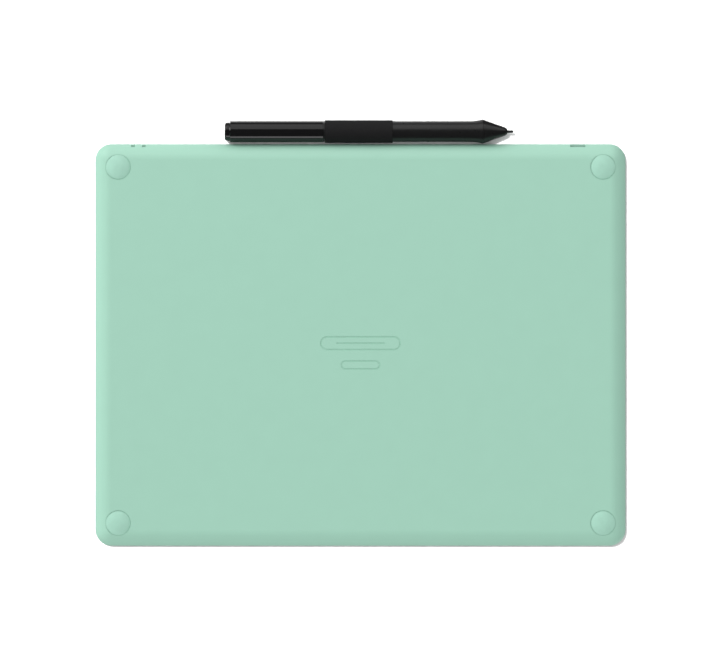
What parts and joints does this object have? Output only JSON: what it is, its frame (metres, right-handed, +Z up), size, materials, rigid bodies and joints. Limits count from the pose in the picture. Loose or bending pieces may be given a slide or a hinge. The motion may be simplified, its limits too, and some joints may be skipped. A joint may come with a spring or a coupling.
{
  "type": "pen drawing tablet",
  "caption": "Flat pen drawing tablet with a curved mint shell, round feet, textured drawing sheet, key tray and a loose black pen along its rear edge.",
  "frame": {"origin": "on the table plane, under the middle of the tablet's outline", "axes": "+X to the user's right, +Y to the rear edge with the cable opening and the pen, +Z up through the drawing side"},
  "size_m": [0.264, 0.2122, 0.0121],
  "materials": {
    "mint_shell": "fine matte",
    "mint_feet": "smooth matte",
    "mint_insert": "fine matte",
    "mint_keys": "satin",
    "black_cover": "fine matte",
    "drawing_film": "paper-like texture",
    "clear_plastic": "polished",
    "led_body": "polished",
    "steel_parts": "satin",
    "circuit_board": "solder mask",
    "amber_flex": "film",
    "white_plastic": "plain",
    "chip_plastic": "moulded",
    "black_plastic": "moulded",
    "battery_pouch": "foil",
    "red_wire": "plain",
    "black_wire": "plain",
    "pen_gloss": "glossy",
    "pen_satin": "satin",
    "pen_grip": "textured matte",
    "nib_plastic": "smooth",
    "ferrite": "sintered",
    "copper_wire": "enamelled"
  },
  "bodies": {
    "tablet": {"bottom_cover": "mint_shell", "top_cover": "black_cover", "drawing_surface": "drawing_film", "pen_tray": "mint_insert", "light_pipe": "clear_plastic", "status_led": "led_body", "key_dome_1": "steel_parts", "key_dome_2": "steel_parts", "key_dome_3": "steel_parts", "key_dome_4": "steel_parts", "power_dome": "steel_parts", "key_board": "circuit_board", "key_board_screws": "steel_parts", "key_flex": "amber_flex", "key_connector": "white_plastic", "main_board": "circuit_board", "main_board_screws": "steel_parts", "board_chips": "chip_plastic", "rf_shield_can": "steel_parts", "radio_module": "chip_plastic", "usb_receptacle": "steel_parts", "usb_tongue": "black_plastic", "sensor_board": "circuit_board", "shield_plate": "steel_parts", "sensor_flex": "amber_flex", "flex_connector": "white_plastic", "battery": "battery_pouch", "battery_tape": "white_plastic", "battery_lead_red": "red_wire", "battery_lead_black": "black_wire", "battery_plug": "white_plastic", "battery_header": "white_plastic", "foot_rear_right": "mint_feet", "foot_rear_left": "mint_feet", "foot_front_right": "mint_feet", "foot_front_left": "mint_feet", "case_screws": "steel_parts"},
    "pen": {"pen_grip_band": "pen_grip", "pen_front_barrel": "pen_satin", "pen_cone": "pen_satin", "pen_frame": "black_plastic", "pen_circuit_board": "circuit_board", "pen_tact_switches": "steel_parts", "pressure_sensor": "steel_parts", "ferrite_core": "ferrite", "pen_coil": "copper_wire", "nib_holder": "black_plastic", "spare_nibs": "nib_plastic"},
    "pen_ring": {"pen_cap_ring": "pen_satin"},
    "pen_cap": {"pen_rear_cap": "pen_gloss"},
    "pen_tip": {"pen_nib": "nib_plastic", "nib_carrier": "white_plastic"},
    "pen_switch": {"pen_side_switch": "pen_satin"},
    "power_key": {"power_button": "mint_keys"},
    "key_1": {"express_key_1": "mint_keys"},
    "key_2": {"express_key_2": "mint_keys"},
    "key_3": {"express_key_3": "mint_keys"},
    "key_4": {"express_key_4": "mint_keys"}
  },
  "joints": [
    {"name": "key_press_1", "type": "slide", "parent": "tablet", "child": "key_1", "axis": [0, 0, -1], "range_m": [0, 0.0005], "stiffness_N_per_m": 1000, "springref_m": -0.0002, "deforming": ["key_dome_1"]},
    {"name": "key_press_2", "type": "slide", "parent": "tablet", "child": "key_2", "axis": [0, 0, -1], "range_m": [0, 0.0005], "stiffness_N_per_m": 1000, "springref_m": -0.0002, "deforming": ["key_dome_2"]},
    {"name": "key_press_3", "type": "slide", "parent": "tablet", "child": "key_3", "axis": [0, 0, -1], "range_m": [0, 0.0005], "stiffness_N_per_m": 1000, "springref_m": -0.0002, "deforming": ["key_dome_3"]},
    {"name": "key_press_4", "type": "slide", "parent": "tablet", "child": "key_4", "axis": [0, 0, -1], "range_m": [0, 0.0005], "stiffness_N_per_m": 1000, "springref_m": -0.0002, "deforming": ["key_dome_4"]},
    {"name": "power_press", "type": "slide", "parent": "tablet", "child": "power_key", "axis": [0, 0, -1], "range_m": [0, 0.0004], "stiffness_N_per_m": 1000, "springref_m": -0.0002, "deforming": ["power_dome"]},
    {"name": "pen_lift", "type": "slide", "parent": "tablet", "child": "pen", "axis": [0, 0, 1], "range_m": [0, 0.06]},
    {"name": "nib_press", "type": "slide", "parent": "pen", "child": "pen_tip", "axis": [1, 0, 0], "range_m": [0, 0.0004], "stiffness_N_per_m": 2000, "springref_m": -0.0002},
    {"name": "switch_rock", "type": "hinge", "parent": "pen", "child": "pen_switch", "pos_m": [-0.0315, 0.1062, 0.00995], "axis": [0, 1, 0], "range_deg": [-1.5, 1.5], "stiffness_Nm_per_rad": 0.5},
    {"name": "cap_turn", "type": "hinge", "parent": "pen", "child": "pen_ring", "pos_m": [0.0186, 0.1062, 0.00605], "axis": [1, 0, 0], "range_deg": [0, 1080]},
    {"name": "cap_travel", "type": "slide", "parent": "pen_ring", "child": "pen_cap", "axis": [1, 0, 0], "range_m": [0, 0.003]}
  ],
  "couplings": [
    {"joint": "cap_turn", "follows": "cap_travel", "rad_per_m": 6283.2}
  ]
}
